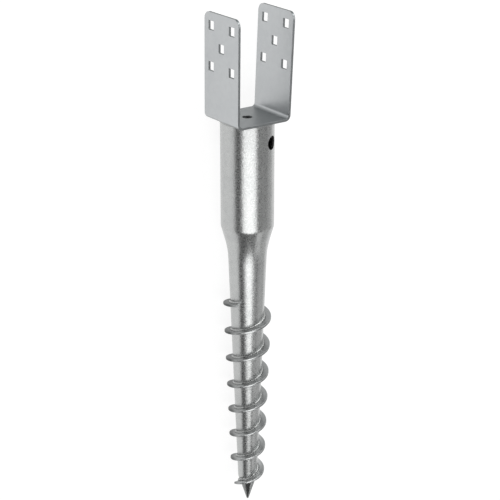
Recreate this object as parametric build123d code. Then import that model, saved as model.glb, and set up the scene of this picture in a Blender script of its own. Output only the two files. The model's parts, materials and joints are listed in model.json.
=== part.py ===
"""Foundation ground screw with a U fork for a square timber post.

The piece is a steel tube that is swaged down to a long taper and closed to a point, with one
helical flight welded round the taper and a folded fork welded across the open top end.

It is modelled upright round the Z axis, with the underside of the fork's base at z = 0, the
flanges of the fork at -X and +X, and the screw below. At the end it is laid on its back, the
way it comes to rest on a floor: on the back edge of the fork's base and on the flight.
"""

import os
from math import atan2, cos, degrees, radians, sin, tan

from build123d import *

# Fork: one folded sheet
post_gap = 71.0                  # clear width between the flanges, at the base
sheet_thickness = 3.0
fork_width = 70.5                # along the post's other side
flange_height = 132.0            # from the underside of the base to the top edge
inner_bend_radius = 4.5
left_flange_lean = -0.65         # degrees that the flange leans outwards
right_flange_lean = 2.7
flange_corner_radius = 9.0

# Square holes in each flange: a pair, one between and a pair, like the five of a die
square_hole_side = 11.2
square_hole_row_pitch = 24.7     # between the rows, up the flange
square_hole_pair_spacing = 42.5  # between the two of a pair
square_hole_middle_drop = 40.4   # below the flange's top edge

base_hole_diameter = 12.5

# Tube: swaged, tapered and closed to a point
tube_diameter = 66.5
tube_wall = 2.5
sleeve_length = 135.7            # straight part under the fork
neck_length = 31.1
neck_diameter = 49.1
taper_length = 324.4
taper_end_diameter = 25.0
point_length = 35.4
point_flat_diameter = 2.6
solid_tip_length = 10.0
shoulder_radius = 12.0
neck_radius = 110.0

# Turning-bar hole, through both walls of the sleeve
bar_hole_diameter = 17.6
bar_hole_depth = 25.2            # below the fork's base
bar_hole_azimuth = -61.5         # degrees from +X

# Flight: a right-handed strip on edge round the taper
flight_height = 9.2
flight_thickness = 3.0
flight_start_depth = 235.0       # of the strip's middle, below the fork's base
flight_start_azimuth = -151.8
upper_pitch = 38.6
upper_turns = 2.68
lower_pitch = 36.0
lower_turns = 4.4

# Welds
fork_weld_leg = 1.8
flight_weld_leg = 2.0
lines_per_turn = 3
points_per_line = 12

outer_bend_radius = inner_bend_radius + sheet_thickness
base_half_width = post_gap / 2 + sheet_thickness
tube_radius = tube_diameter / 2
taper_start_depth = sleeve_length + neck_length
point_start_depth = taper_start_depth + taper_length
screw_length = point_start_depth + point_length
square_hole_middle_height = flange_height - square_hole_middle_drop
taper_slope = (neck_diameter - taper_end_diameter) / 2 / taper_length
point_slope = (taper_end_diameter - point_flat_diameter) / 2 / point_length
flight_turns = upper_turns + lower_turns


def folded_fork():
    """U section along Y, trimmed to the rounded side outline, with its holes punched."""
    left_top = -base_half_width - flange_height * tan(radians(left_flange_lean))
    right_top = base_half_width + flange_height * tan(radians(right_flange_lean))
    with BuildPart() as fork:
        with BuildSketch(Plane.XZ):
            with BuildLine():
                outside = FilletPolyline(
                    (left_top, flange_height),
                    (-base_half_width, 0),
                    (base_half_width, 0),
                    (right_top, flange_height),
                    radius=outer_bend_radius,
                )
                offset(outside, amount=sheet_thickness, side=Side.LEFT)
            make_face()
        extrude(amount=fork_width / 2, both=True)
        with BuildSketch(Plane.YZ):
            with Locations((0, flange_height / 2)):
                side = Rectangle(fork_width, flange_height)
            fillet(side.vertices().group_by(Axis.Y)[-1], flange_corner_radius)
        extrude(amount=post_gap + flange_height, both=True, mode=Mode.INTERSECT)
        with BuildSketch(Plane.YZ):
            with Locations((0, square_hole_middle_height)):
                Rectangle(square_hole_side, square_hole_side)
                with GridLocations(square_hole_pair_spacing, 2 * square_hole_row_pitch, 2, 2):
                    Rectangle(square_hole_side, square_hole_side)
        extrude(amount=post_gap + flange_height, both=True, mode=Mode.SUBTRACT)
        with BuildSketch(Plane.XY):
            Circle(base_hole_diameter / 2)
        extrude(amount=sheet_thickness, mode=Mode.SUBTRACT)
    return fork.part


def skin_radius(depth):
    """Outer radius of the tube at a depth below the neck, along the taper or the point."""
    if depth <= point_start_depth:
        return neck_diameter / 2 - taper_slope * (depth - taper_start_depth)
    return taper_end_diameter / 2 - point_slope * (depth - point_start_depth)


def swaged_tube():
    """Revolved wall between the outer outline and the bore, closed at the point."""
    bore_radius = tube_radius - tube_wall
    bore_end_depth = screw_length - solid_tip_length
    with BuildPart() as tube:
        with BuildSketch(Plane.XZ):
            with BuildLine():
                skin = FilletPolyline(
                    (tube_radius, 0),
                    (tube_radius, -sleeve_length),
                    (neck_diameter / 2, -taper_start_depth),
                    (taper_end_diameter / 2, -point_start_depth),
                    (point_flat_diameter / 2, -screw_length),
                    radius=(shoulder_radius, neck_radius, 0),
                )
                bore = FilletPolyline(
                    (0, -bore_end_depth),
                    (taper_end_diameter / 2 - tube_wall, -point_start_depth),
                    (neck_diameter / 2 - tube_wall, -taper_start_depth),
                    (bore_radius, -sleeve_length),
                    (bore_radius, 0),
                    radius=(0, neck_radius, shoulder_radius),
                )
                Polyline(skin @ 1, (0, -screw_length), bore @ 0)
                Line(bore @ 1, skin @ 0)
            make_face()
        revolve(axis=Axis.Z)
        bar_direction = (cos(radians(bar_hole_azimuth)), sin(radians(bar_hole_azimuth)), 0)
        with BuildSketch(Plane(origin=(0, 0, -bar_hole_depth), z_dir=bar_direction)):
            Circle(bar_hole_diameter / 2)
        extrude(amount=tube_diameter, both=True, mode=Mode.SUBTRACT)
    return tube.part


def helix_point(turn, out, up):
    """Point so many turns down the flight, above the strip's middle by up and out from the
    tube's skin by out. With out None it is on the rim, which follows the taper all the way."""
    wide_turns = min(turn, upper_turns)
    middle_depth = flight_start_depth + upper_pitch * wide_turns
    middle_depth += lower_pitch * (turn - wide_turns)
    if out is None:
        taper_radius = neck_diameter / 2 - taper_slope * (middle_depth - taper_start_depth)
        radius = taper_radius + flight_height
    else:
        radius = skin_radius(middle_depth - up) + out
    azimuth = radians(flight_start_azimuth - 360 * turn)
    return Vector(radius * cos(azimuth), radius * sin(azimuth), up - middle_depth)


def helical_line(first, last, out, up):
    """Spline through the flight's points from one turn to another, tangent to it at the ends."""
    turns = [first + (last - first) * i / points_per_line for i in range(points_per_line + 1)]
    points = [helix_point(turn, out, up) for turn in turns]
    step = (last - first) / 1000
    speeds = [
        (helix_point(first + step, out, up) - points[0]) / step,
        (points[-1] - helix_point(last - step, out, up)) / step,
    ]
    return Edge.make_spline(points, tangents=speeds, parameters=turns, scale=False)


def helical_solid(corners):
    """Solid round the taper whose section has these corners, each an (out, up) pair. Every
    third of a turn has a ruled face from each corner's line to the next one's."""
    upper_count = round(upper_turns * lines_per_turn)
    lower_count = round(lower_turns * lines_per_turn)
    ends = [upper_turns * i / upper_count for i in range(upper_count)]
    ends += [upper_turns + lower_turns * i / lower_count for i in range(lower_count + 1)]
    faces = []
    for first, last in zip(ends, ends[1:]):
        lines = [helical_line(first, last, out, up) for out, up in corners]
        for line, following in zip(lines, lines[1:] + lines[:1]):
            faces.append(Face.make_surface_from_curves(line, following))
    for turn in (ends[0], ends[-1]):
        section = [helix_point(turn, out, up) for out, up in corners]
        faces.append(Face(Wire.make_polygon(section)))
    return Solid(Shell(faces))


def helical_flight():
    half = flight_thickness / 2
    return helical_solid([(0, -half), (None, -half), (None, half), (0, half)])


def flight_fillet_weld():
    """Bead in the corner between the tube's skin and the flight's upper face."""
    upper_face = flight_thickness / 2
    return helical_solid(
        [(0, upper_face), (flight_weld_leg, upper_face), (0, upper_face + flight_weld_leg)]
    )


def fork_fillet_weld(fork, tube):
    """Bead round the tube's top end, which also fills in under the fork's two bends, but not
    outside the fork's base."""
    bead_radius = tube_radius + fork_weld_leg
    with BuildPart() as bead:
        with BuildSketch(Plane.XZ):
            with BuildLine():
                Polyline(
                    (tube_radius - tube_wall / 2, 0),
                    (tube_radius, -fork_weld_leg),
                    (bead_radius, 0),
                    (bead_radius, sheet_thickness),
                    (tube_radius - tube_wall / 2, sheet_thickness),
                    close=True,
                )
            make_face()
        revolve(axis=Axis.Z)
        with BuildSketch(Plane.XY):
            Circle(2 * bead_radius)
            Rectangle(2 * base_half_width, fork_width, mode=Mode.SUBTRACT)
        extrude(amount=sheet_thickness, mode=Mode.SUBTRACT)
    return bead.part - fork - tube


def resting_tilt():
    """Degrees that the screw's end drops when the fork's back edge and the flight's rim both
    touch the floor."""
    tilts = []
    for up in (-flight_thickness / 2, flight_thickness / 2):
        for degree in range(round(360 * flight_turns)):
            rim = helix_point(degree / 360, None, up)
            tilts.append(degrees(atan2(fork_width / 2 - rim.Y, -rim.Z)))
    return min(tilts)


post_fork = folded_fork()
tapered_tube = swaged_tube()
nodes = {
    "post_fork": post_fork,
    "tapered_tube": tapered_tube,
    "fork_weld": fork_fillet_weld(post_fork, tapered_tube),
    "helical_flight": helical_flight(),
    "flight_weld": flight_fillet_weld(),
}

# Laid on its back: the fork points along +Y, the point along -Y, and the floor is at z = 0
lay_down = Rot(X=resting_tilt() - 90)
box = Compound([lay_down * node for node in nodes.values()]).bounding_box()
place = Pos(-box.center().X, -box.center().Y, -box.min.Z) * lay_down

os.makedirs("parts", exist_ok=True)
for name, node in nodes.items():
    export_step(place * node, f"parts/{name}.step")
print(f"tilt {resting_tilt():.3f} degrees, size {box.size}")
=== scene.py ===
"""Foundation ground screw with a U fork, lying on a white floor and seen from above.

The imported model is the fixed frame. Its fork and tube get a hot-dip galvanised finish, and the
flight and the two weld beads are made again here as rounder, rougher surfaces.
Lengths are in metres and angles in degrees, unless a name says otherwise.
"""

import json
from math import cos, pi, radians, sin

import bpy
import numpy as np
from mathutils import Matrix, Vector


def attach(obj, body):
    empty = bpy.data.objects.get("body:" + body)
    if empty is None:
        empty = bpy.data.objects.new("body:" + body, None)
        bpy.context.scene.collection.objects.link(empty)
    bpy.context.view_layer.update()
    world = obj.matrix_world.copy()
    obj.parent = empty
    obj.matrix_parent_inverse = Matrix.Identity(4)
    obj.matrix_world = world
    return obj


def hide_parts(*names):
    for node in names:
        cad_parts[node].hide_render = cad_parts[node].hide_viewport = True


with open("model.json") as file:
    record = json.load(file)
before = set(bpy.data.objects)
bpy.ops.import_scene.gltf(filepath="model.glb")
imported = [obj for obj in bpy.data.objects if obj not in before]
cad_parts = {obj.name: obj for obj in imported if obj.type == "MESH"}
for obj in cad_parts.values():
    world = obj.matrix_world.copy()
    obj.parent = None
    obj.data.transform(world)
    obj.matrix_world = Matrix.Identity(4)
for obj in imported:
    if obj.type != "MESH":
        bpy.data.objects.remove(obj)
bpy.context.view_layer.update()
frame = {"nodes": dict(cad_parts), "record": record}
nodes = frame["nodes"]

# ---- The screw's own axes ----
# The part lies tilted on the floor. Its own frame has its origin under the fork's base, Z up
# the screw, and X across the fork towards the right flange.
sheet_thickness = 0.003

mounts = {mount["name"]: mount for mount in frame["record"]["mounts"]}
screw_up = Vector(mounts["base_bolt_hole"]["axis"]).normalized()
screw_right = Vector((1, 0, 0))
screw_back = screw_up.cross(screw_right)
screw_axes = Matrix((screw_right, screw_back, screw_up)).transposed()
screw_origin = Vector(mounts["base_bolt_hole"]["pos_m"]) - screw_up * sheet_thickness / 2

# ---- Post fork ----
# One folded sheet of steel, hot-dip galvanised: satin zinc with faint crystals. Its cut edges,
# hole walls and base carry painted shade: darker than the two flanges, and a little rougher.
crystal_size = 0.005
run_size = 0.03                  # of the slow runs in the zinc
run_depth = 0.0003
grain_share = 0.6                # of the mottle, as the next two are
crystal_share = 0.2
run_share = 0.3
grain_range = (0.3, 0.7)         # of the grain's noise, from the smoothest zinc to the roughest
facing_ends = (0.4, 0.8)         # how far a face turns to the axis, from no painted shade to full painted shade
facing_sides = (0.5, 0.9)
above_base = (0.01, 0.02)        # heights between which the base gives way to the cut edges
base_shade = 0.68                # how much painted shade the base gets, where a cut end gets 1 and a flange 0
side_shade = 0.5


def linear(hex_colour):
    """An sRGB hex colour as a linear RGBA value."""
    parts = [int(hex_colour[i:i + 2], 16) / 255 for i in (1, 3, 5)]
    return [c / 12.92 if c <= 0.04045 else ((c + 0.055) / 1.055) ** 2.4 for c in parts] + [1]


def add_node(tree, kind, inputs=None, **settings):
    """A new shader node with its settings and inputs, where an input is a value or a socket."""
    node = tree.nodes.new(kind)
    for name, value in settings.items():
        setattr(node, name, value)
    for name, value in (inputs or {}).items():
        if isinstance(value, bpy.types.NodeSocket):
            tree.links.new(value, node.inputs[name])
        else:
            node.inputs[name].default_value = value
    return node


def maths(tree, operation, *values):
    """The result of a math node."""
    return add_node(tree, "ShaderNodeMath", dict(enumerate(values)), operation=operation).outputs[0]


def mixed(tree, factor, low, high):
    """A colour between two others."""
    inputs = {0: factor, 6: low, 7: high}
    return add_node(tree, "ShaderNodeMix", inputs, data_type="RGBA").outputs[2]


def faces_along(tree, axis, start, end):
    """0 where a face's normal is across the axis and 1 where it is along it, between limits."""
    normal = add_node(tree, "ShaderNodeNewGeometry").outputs["Normal"]
    along = add_node(
        tree, "ShaderNodeVectorMath", {0: normal, 1: tuple(axis)}, operation="DOT_PRODUCT"
    )
    size = maths(tree, "ABSOLUTE", along.outputs["Value"])
    limits = {"Value": size, "From Min": start, "From Max": end}
    return add_node(tree, "ShaderNodeMapRange", limits).outputs["Result"]


def galvanised(name, greys, shade_greys, shaded, roughness, grain_size, grain_depth, rounding,
               shade_roughness=0):
    """Zinc-coated steel. greys are the zinc's (dark, light) pair and the next pair is the same for
    its painted shade, and the function after them adds the nodes that tell where shade is
    painted. roughness is a (low, high) pair, to which the shaded parts add their own, and rounding
    is the radius to which edges look worn."""
    material = bpy.data.materials.new(name)
    material.use_nodes = True
    tree = material.node_tree
    shader = tree.nodes["Principled BSDF"]
    place = add_node(tree, "ShaderNodeTexCoord").outputs["Object"]
    crystals = add_node(tree, "ShaderNodeTexVoronoi", {"Vector": place, "Scale": 1 / crystal_size})
    crystal_grey = add_node(
        tree, "ShaderNodeSeparateColor", {"Color": crystals.outputs["Color"]}
    ).outputs["Red"]
    fine = {"Vector": place, "Scale": 1 / grain_size, "Detail": 2, "Roughness": 0.5}
    grain = add_node(tree, "ShaderNodeTexNoise", fine).outputs["Fac"]
    slow = {"Vector": place, "Scale": 1 / run_size, "Detail": 2}
    runs = add_node(tree, "ShaderNodeTexNoise", slow).outputs["Fac"]
    mottle = maths(tree, "MULTIPLY", grain, grain_share)
    mottle = maths(tree, "MULTIPLY_ADD", crystal_grey, crystal_share, mottle)
    mottle = maths(tree, "MULTIPLY_ADD", runs, run_share, mottle)
    bright = mixed(tree, mottle, linear(greys[0]), linear(greys[1]))
    # the painted shade: darker greys, mixed in where the mask says
    shaded_zinc = mixed(tree, mottle, linear(shade_greys[0]), linear(shade_greys[1]))
    shade_share = shaded(tree)
    colour = mixed(tree, shade_share, bright, shaded_zinc)
    polish = {"Value": grain}
    polish["From Min"], polish["From Max"] = grain_range
    polish["To Min"], polish["To Max"] = roughness
    polish = add_node(tree, "ShaderNodeMapRange", polish).outputs["Result"]
    polish = maths(tree, "MULTIPLY_ADD", shade_share, shade_roughness, polish)
    edges = add_node(tree, "ShaderNodeBevel", {"Radius": rounding}, samples=6).outputs["Normal"]
    wave = {"Height": runs, "Strength": 1, "Distance": run_depth, "Normal": edges}
    wave = add_node(tree, "ShaderNodeBump", wave).outputs["Normal"]
    bump = {"Height": grain, "Strength": 1, "Distance": grain_depth, "Normal": wave}
    bump = add_node(tree, "ShaderNodeBump", bump).outputs["Normal"]
    tree.links.new(colour, shader.inputs["Base Color"])
    tree.links.new(polish, shader.inputs["Roughness"])
    tree.links.new(bump, shader.inputs["Normal"])
    shader.inputs["Metallic"].default_value = 1
    return material


def finish_node(name, material):
    """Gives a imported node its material."""
    nodes[name].data.materials.clear()
    nodes[name].data.materials.append(material)


def height_up(tree, start, end, low, high):
    """low below one height above the fork's base and high above another, in metres."""
    place = add_node(tree, "ShaderNodeTexCoord").outputs["Object"]
    along = add_node(
        tree, "ShaderNodeVectorMath", {0: place, 1: tuple(screw_up)}, operation="DOT_PRODUCT"
    )
    origin_height = screw_origin.dot(screw_up)
    limits = {"Value": along.outputs["Value"], "To Min": low, "To Max": high}
    limits["From Min"] = origin_height + start
    limits["From Max"] = origin_height + end
    return add_node(tree, "ShaderNodeMapRange", limits).outputs["Result"]


def painted_shade_faces(tree):
    """Painted shade: 1 on the sheet's cut edges and hole walls, less on the base and 0 on the
    flanges.
    """
    ends = faces_along(tree, screw_up, *facing_ends)
    ends = maths(tree, "MULTIPLY", ends, height_up(tree, *above_base, base_shade, 1))
    sides = maths(tree, "MULTIPLY", faces_along(tree, screw_back, *facing_sides), side_shade)
    return maths(tree, "MAXIMUM", ends, sides)


# satin zinc on flat sheet, with painted shade on its cut edges, hole walls and base
sheet_zinc = galvanised(
    "galvanised satin sheet",
    greys=("#b3b6b8", "#c4c6c7"),
    shade_greys=("#4c5152", "#767b7c"),
    shaded=painted_shade_faces,
    shade_roughness=0.08,
    roughness=(0.3, 0.4),
    grain_size=0.0012,
    grain_depth=0.00001,
    rounding=0.0005,
)
finish_node("post_fork", sheet_zinc)

# ---- Tapered tube ----
# Steel tube, swaged to a taper and galvanised. Its zinc is rougher than the sheet's: a grain of
# one or two millimetres breaks the edges of every reflection. The point has painted shade.
point_shade_heights = (-0.497, -0.489)  # between which the painted shade on the point gives way to the taper

# zinc over a swaged tube, with painted shade on the point
tube_zinc = galvanised(
    "galvanised grainy tube",
    greys=("#a6a8a8", "#c7c8c7"),
    shade_greys=("#6c6e6e", "#8f9190"),
    shaded=lambda tree: height_up(tree, *point_shade_heights, 1, 0),
    roughness=(0.24, 0.36),
    grain_size=0.0018,
    grain_depth=0.00011,
    rounding=0.0005,
)
finish_node("tapered_tube", tube_zinc)

# ---- Helical flight ----
# A steel strip wound on edge round the taper and welded on, right-handed. The surface follows
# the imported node, with its rim rounded by the zinc and its edges a little uneven.
flight_height = 0.0092
flight_thickness = 0.003
flight_start_depth = 0.235       # of the strip's middle, below the fork's base
flight_start_azimuth = -151.8
upper_pitch = 0.0386
upper_turns = 2.68
lower_pitch = 0.036
lower_turns = 4.4
neck_depth = 0.1668
neck_radius = 0.02455
point_depth = 0.4912
point_radius = 0.0125
tip_depth = 0.5266
tip_radius = 0.0013
sunk = 0.0006                    # how far a bead or strip reaches into the steel behind it
steps_per_turn = 96
corner_points = 5
rim_rounding = 0.0007
flat_middle = 0.004              # out from the skin, where the flat sides have a row of points
wear_depth = 0.0001
wear_length = 0.12               # in turns
shade_toward = (-0.8, 0, -0.6)      # towards which the painted shade lies
# where the painted shade starts and is full, on its own side and on the far side, and how much the
# far side gets
shaded_side_limits = (-0.006, 0.006)
far_shade_limits = (-0.024, -0.034)
far_shade_share = 0.57

taper_slope = (neck_radius - point_radius) / (point_depth - neck_depth)


def skin_radius(depth):
    """Radius of the tube's skin below the neck, along the taper and the point."""
    depths = (neck_depth, point_depth, tip_depth)
    return np.interp(depth, depths, (neck_radius, point_radius, tip_radius))


def helix(turn, out, up):
    """Points so many turns down the flight's middle line, up from it and out from the skin:
    azimuth = start - 360 turn and depth = start + pitch turn - up."""
    wide = np.minimum(turn, upper_turns)
    depth = flight_start_depth + upper_pitch * wide + lower_pitch * (turn - wide)
    taper = neck_radius - taper_slope * (depth - neck_depth)
    inner = skin_radius(depth - up)
    radius = inner + out * (taper + flight_height - inner) / flight_height
    azimuth = np.radians(flight_start_azimuth) - 2 * pi * turn
    return np.stack((radius * np.cos(azimuth), radius * np.sin(azimuth), up - depth), -1)


def swept(name, points):
    """An object whose surface joins a grid of points in the screw's frame: each row is a closed
    section, the rows follow each other, and a flat face closes each end."""
    rows, around = points.shape[:2]
    places = points.reshape(-1, 3) @ np.array(screw_axes).T + np.array(screw_origin)
    row, column = np.meshgrid(np.arange(rows - 1), np.arange(around), indexing="ij")
    here = row * around + column
    beside = row * around + (column + 1) % around
    quads = np.stack((here, beside, beside + around, here + around), -1).reshape(-1, 4)
    ends = [list(range(around))[::-1], list(range((rows - 1) * around, rows * around))]
    mesh = bpy.data.meshes.new(name)
    mesh.from_pydata(places.tolist(), [], quads.tolist() + ends)
    mesh.polygons.foreach_set("use_smooth", [True] * len(quads) + [False] * 2)
    mesh.update()
    piece = bpy.data.objects.new(name, mesh)
    bpy.context.scene.collection.objects.link(piece)
    return piece


def slow_noise(values, size, seed):
    """A smooth random curve between -1 and 1: a sum of sines of random length about size."""
    waves, shortest, longest = 5, 0.6, 1.8
    random = np.random.default_rng(seed)
    lengths = size * random.uniform(shortest, longest, waves)
    starts = random.uniform(0, 2 * pi, waves)
    return sum(np.sin(2 * pi * values / a + b) for a, b in zip(lengths, starts)) / waves


flight_turns = upper_turns + lower_turns
half = flight_thickness / 2
turn = np.linspace(0, flight_turns, round(flight_turns * steps_per_turn))[:, None]
corner = np.radians(np.linspace(0, 90, corner_points))
rounded_out = flight_height - rim_rounding * (1 - np.sin(corner))
rounded_up = half - rim_rounding * (1 - np.cos(corner))
section_out = np.concatenate(
    ([-sunk, flat_middle], rounded_out, rounded_out[::-1], [flat_middle, -sunk])
)
section_up = np.concatenate(([half, half], rounded_up, -rounded_up[::-1], [-half, -half]))
wear = wear_depth * (slow_noise(turn, wear_length, 1) - 1)
wear = wear * np.clip(section_out / flight_height, 0, 1)
flight = swept("zinc_coated_flight", helix(turn, section_out + wear, section_up + 0 * turn))


def painted_shade_side(tree):
    """Painted shade: 1 on the side of the screw towards which it lies, some on the far side from it
    and 0 between the two."""
    place = add_node(tree, "ShaderNodeTexCoord").outputs["Object"]
    down = {0: place, 1: shade_toward}
    depth = add_node(tree, "ShaderNodeVectorMath", down, operation="DOT_PRODUCT").outputs["Value"]
    limits = {"Value": depth, "From Min": shaded_side_limits[0], "From Max": shaded_side_limits[1]}
    shaded_side = add_node(tree, "ShaderNodeMapRange", limits).outputs["Result"]
    limits = {"Value": depth, "From Min": far_shade_limits[0], "From Max": far_shade_limits[1]}
    limits["To Max"] = far_shade_share
    far_shading = add_node(tree, "ShaderNodeMapRange", limits).outputs["Result"]
    return maths(tree, "MAXIMUM", shaded_side, far_shading)


# zinc on the wound strip, with painted shade: darkest on one side, some on the far side
flight_zinc = galvanised(
    "galvanised dull flight",
    greys=("#b4b6b6", "#ced0d0"),
    shade_greys=("#424444", "#5e6060"),
    shaded=painted_shade_side,
    roughness=(0.3, 0.42),
    grain_size=0.0016,
    grain_depth=0.00006,
    rounding=0.0004,
)
flight.data.materials.append(flight_zinc)
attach(flight, "root")
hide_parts("helical_flight")

# ---- Flight weld ----
# The bead in the corner over the flight, laid by hand: scallops two or three millimetres apart,
# wandering a little in width, under the same zinc. It swells where it ends.
weld_leg = 0.002
ripple_length = 0.0026
ripple_wander = 0.3              # how far the scallops stray, in ripples
ripple_share = 0.06              # of the bead's radius
bead_mean = 0.86
bead_wander = 0.08
wander_length = 0.008
stray_length = 0.01
bead_steps_per_turn = 420
bead_points = 7
bead_path_radius = 0.02          # mean radius at which the bead's length is measured
lump_growth = 1.2
lump_turns = 0.2                 # how far before the bead's end it starts to swell
lump_rise = 0.15                 # and over how many turns it does
# how far a bead face turns to the axis, from no painted shade to full
bead_shade_facing = (0.4, 0.9)

bead_angle = np.radians(np.linspace(0, 90, bead_points))
bead_turn = np.linspace(0, flight_turns, round(flight_turns * bead_steps_per_turn))[:, None]
along = bead_turn * 2 * pi * bead_path_radius
scallop = ripple_wander * slow_noise(along, stray_length, 5)
scallop = np.abs(np.sin(pi * (along / ripple_length + scallop)))
past_lump = np.clip((bead_turn - flight_turns + lump_turns) / lump_rise, 0, 1)
end_lump = 1 + lump_growth * past_lump
width = bead_mean + bead_wander * slow_noise(along, wander_length, 2) + ripple_share * scallop
bead_radius = weld_leg * end_lump * width
arc_out = bead_radius * np.cos(bead_angle)
arc_up = half + bead_radius * np.sin(bead_angle)
inside = np.full_like(bead_turn, -sunk)
bead_out = np.concatenate((inside, arc_out[:, :1], arc_out, inside), 1)
bead_up = np.concatenate((inside + half, inside + half, arc_up, arc_up[:, -1:]), 1)
flight_bead = swept("flight_weld_bead", helix(bead_turn, bead_out, bead_up)[:, ::-1])

# zinc over a rough bead, with painted shade: faces along the axis a little darker
weld_zinc = galvanised(
    "galvanised weld bead",
    greys=("#8d8f8f", "#b9bab9"),
    shade_greys=("#858787", "#b0b1b0"),
    shaded=lambda tree: faces_along(tree, screw_up, *bead_shade_facing),
    roughness=(0.22, 0.34),
    grain_size=0.0012,
    grain_depth=0.00004,
    rounding=0.0002,
)
flight_bead.data.materials.append(weld_zinc)
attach(flight_bead, "root")
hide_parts("flight_weld")

# ---- Fork weld ----
# The bead round the tube's top end, under the fork's base. It also fills the wedge under the two
# bends, where the base curves away from the tube.
tube_radius = 0.03325
fork_leg = 0.0018
bend_start = 0.031               # from the middle to where a bend begins
bend_radius = 0.0075
bend_reach = 0.95                # of the bend's radius, as far as the bead follows it
ring_steps = 420
ring_mean = 0.8
ring_wander = 0.1

bead_azimuth = np.linspace(0, 2 * pi, ring_steps)[:, None]
ring = bead_azimuth * tube_radius
scallop = ripple_wander * slow_noise(ring, stray_length, 6)
scallop = np.abs(np.sin(pi * (ring / ripple_length + scallop)))
width = ring_mean + ring_wander * slow_noise(ring, wander_length, 3) + ripple_share * scallop
fork_radius = fork_leg * width
out = np.concatenate(
    (0 * ring - sunk, fork_radius * np.sin(bead_angle), fork_radius, 0 * ring - sunk), 1
)
down = np.concatenate(
    (fork_radius, fork_radius * np.cos(bead_angle), 0 * ring - sunk, 0 * ring - sunk), 1
)
ring_x = (tube_radius + out) * np.cos(bead_azimuth)
ring_y = (tube_radius + out) * np.sin(bead_azimuth)
past_bend = np.clip(np.abs(ring_x) - bend_start, 0, bend_reach * bend_radius)
lifted = bend_radius - np.sqrt(bend_radius ** 2 - past_bend ** 2)
ring_z = lifted * (1 - down / fork_radius).clip(0, 1) - down
fork_bead = swept("fork_weld_bead", np.stack((ring_x, ring_y, ring_z), -1))
fork_bead.data.materials.append(weld_zinc)
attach(fork_bead, "root")
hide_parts("fork_weld")

# ---- Floor ----
# White paper under the part. It glows to the camera and in reflections, so that it stays white
# all round, and takes the part's shadow softly.
floor_reach = 4.0
paper_white = 0.2
paper_glow = 0.88

signs = ((-1, -1), (1, -1), (1, 1), (-1, 1))
floor_corners = [(x * floor_reach, y * floor_reach, 0) for x, y in signs]
floor_mesh = bpy.data.meshes.new("paper floor")
floor_mesh.from_pydata(floor_corners, [], [(0, 1, 2, 3)])
floor = bpy.data.objects.new("paper_floor", floor_mesh)
bpy.context.scene.collection.objects.link(floor)

paper = bpy.data.materials.new("white paper")
paper.use_nodes = True
tree = paper.node_tree
tree.nodes.clear()
rays = add_node(tree, "ShaderNodeLightPath").outputs
seen = maths(tree, "ADD", rays["Is Camera Ray"], rays["Is Glossy Ray"])
seen = maths(tree, "ADD", seen, rays["Is Transmission Ray"])
strength = maths(tree, "MULTIPLY", seen, paper_glow)
glow = add_node(tree, "ShaderNodeEmission", {"Color": (1, 1, 1, 1), "Strength": strength})
paper_colour = (paper_white, paper_white, paper_white, 1)
matt = add_node(tree, "ShaderNodeBsdfDiffuse", {"Color": paper_colour})
both = add_node(tree, "ShaderNodeAddShader", {0: glow.outputs[0], 1: matt.outputs[0]})
add_node(tree, "ShaderNodeOutputMaterial", {"Surface": both.outputs[0]})
floor_mesh.materials.append(paper)

# ---- World and lights ----
# A dim grey room with a wide softbox over the left side, which draws the streak down the tube.
# The others, over both sides, past the point, past the fork and behind, fill its reflections.
room_grey = 0.1
part_middle = 0.037              # height of the part's middle over the floor
watts = 4                        # of a light's energy, for each unit of radiance and area
back_width = 2.4
back_height = 1.0
back_radiance = 3.5
back_place = (0.7, 2, 0.85)

world = bpy.data.worlds.new("grey room")
world.use_nodes = True
world.node_tree.nodes["Background"].inputs["Color"].default_value = (1, 1, 1, 1)
world.node_tree.nodes["Background"].inputs["Strength"].default_value = room_grey
bpy.context.scene.world = world


def softbox(name, lean, distance, width, near, far, radiance):
    """A rectangular light with its plane along the part, facing it. lean is its angle from
    straight up towards +X, and near and far are its ends along -Y."""
    lean = radians(lean)
    towards = Vector((sin(lean), 0, cos(lean)))
    along = Vector((0, 1, 0))
    light = bpy.data.lights.new(name, "AREA")
    light.shape = "RECTANGLE"
    light.size = width
    light.size_y = far - near
    light.energy = radiance * watts * width * (far - near)
    box = bpy.data.objects.new(name, light)
    turned = Matrix((along.cross(towards), along, towards)).transposed().to_4x4()
    centre = towards * distance - along * (near + far) / 2 + Vector((0, 0, part_middle))
    box.matrix_world = Matrix.Translation(centre) @ turned
    box.visible_camera = False
    bpy.context.scene.collection.objects.link(box)


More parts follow.
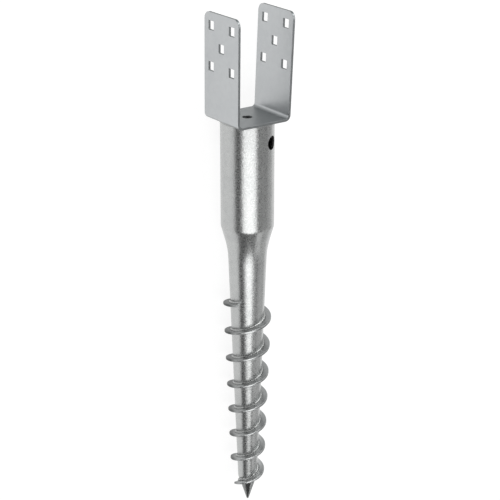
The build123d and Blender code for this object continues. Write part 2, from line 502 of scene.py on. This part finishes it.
softbox("key_softbox", lean=-26, distance=1.7, width=1.98, near=0.2, far=0.87, radiance=1.92)
softbox("key_low_softbox", lean=-26, distance=1.7, width=1.24, near=0.87, far=1.2, radiance=1.7)
softbox("slim_softbox", lean=14, distance=1.7, width=0.3, near=0.87, far=1.3, radiance=0.5)
softbox("key_end_softbox", lean=-18, distance=1.7, width=1.0, near=1.2, far=1.45, radiance=1.2)
softbox("fill_softbox", lean=33, distance=1.6, width=1.0, near=0.2, far=0.66, radiance=0.2)
softbox("fill_low_softbox", lean=46, distance=1.6, width=0.75, near=0.66, far=1.1, radiance=0.42)
softbox("right_softbox", lean=73, distance=1.6, width=1.0, near=0.2, far=1.8, radiance=0.4)
softbox("foot_softbox", lean=33, distance=1.6, width=1.0, near=1.1, far=2.2, radiance=0.6)
softbox("point_softbox", lean=50, distance=1.6, width=1.4, near=2.3, far=3.0, radiance=2)
softbox("head_softbox", lean=-35, distance=1.6, width=1.4, near=-1.2, far=0, radiance=0.7)
softbox("head_right_softbox", lean=33, distance=1.6, width=1.2, near=-1.2, far=-0.1, radiance=1.3)
softbox("side_softbox", lean=88, distance=1.6, width=0.7, near=-0.9, far=-0.1, radiance=2)

back = bpy.data.lights.new("back_softbox", "AREA")
back.shape = "RECTANGLE"
back.size = back_width
back.size_y = back_height
back.energy = back_radiance * watts * back_width * back_height
back_box = bpy.data.objects.new("back_softbox", back)
back_turn = Matrix.Rotation(radians(-90), 4, "X")
back_box.matrix_world = Matrix.Translation(back_place) @ back_turn
back_box.visible_camera = False
bpy.context.scene.collection.objects.link(back_box)

# ---- Camera ----
# A long lens that looks down on the lying part, with the screw upright in the picture.
camera_azimuth = 35.193
camera_turn = 0.1066
camera_pitch = 21.527
camera_distance = 1.7373
camera_height = 0.5152
focal_pixels = 1491.4
picture_pixels = 500

heading = radians(camera_azimuth + camera_turn)
pitch = radians(camera_pitch)
forward = Vector((sin(heading) * cos(pitch), cos(heading) * cos(pitch), -sin(pitch)))
right = Vector((cos(heading), -sin(heading), 0))
camera_axes = Matrix((right, right.cross(forward), -forward)).transposed()
stand = Vector((-sin(radians(camera_azimuth)), -cos(radians(camera_azimuth)), 0)) * camera_distance
stand.z = camera_height
lens = bpy.data.cameras.new("long lens")
lens.lens = focal_pixels / picture_pixels * lens.sensor_width
camera = bpy.data.objects.new("camera", lens)
camera_place = Matrix.Translation(screw_origin + screw_axes @ stand)
camera.matrix_world = camera_place @ (screw_axes @ camera_axes).to_4x4()
bpy.context.scene.collection.objects.link(camera)
bpy.context.scene.camera = camera
bpy.context.scene.view_settings.view_transform = "Standard"
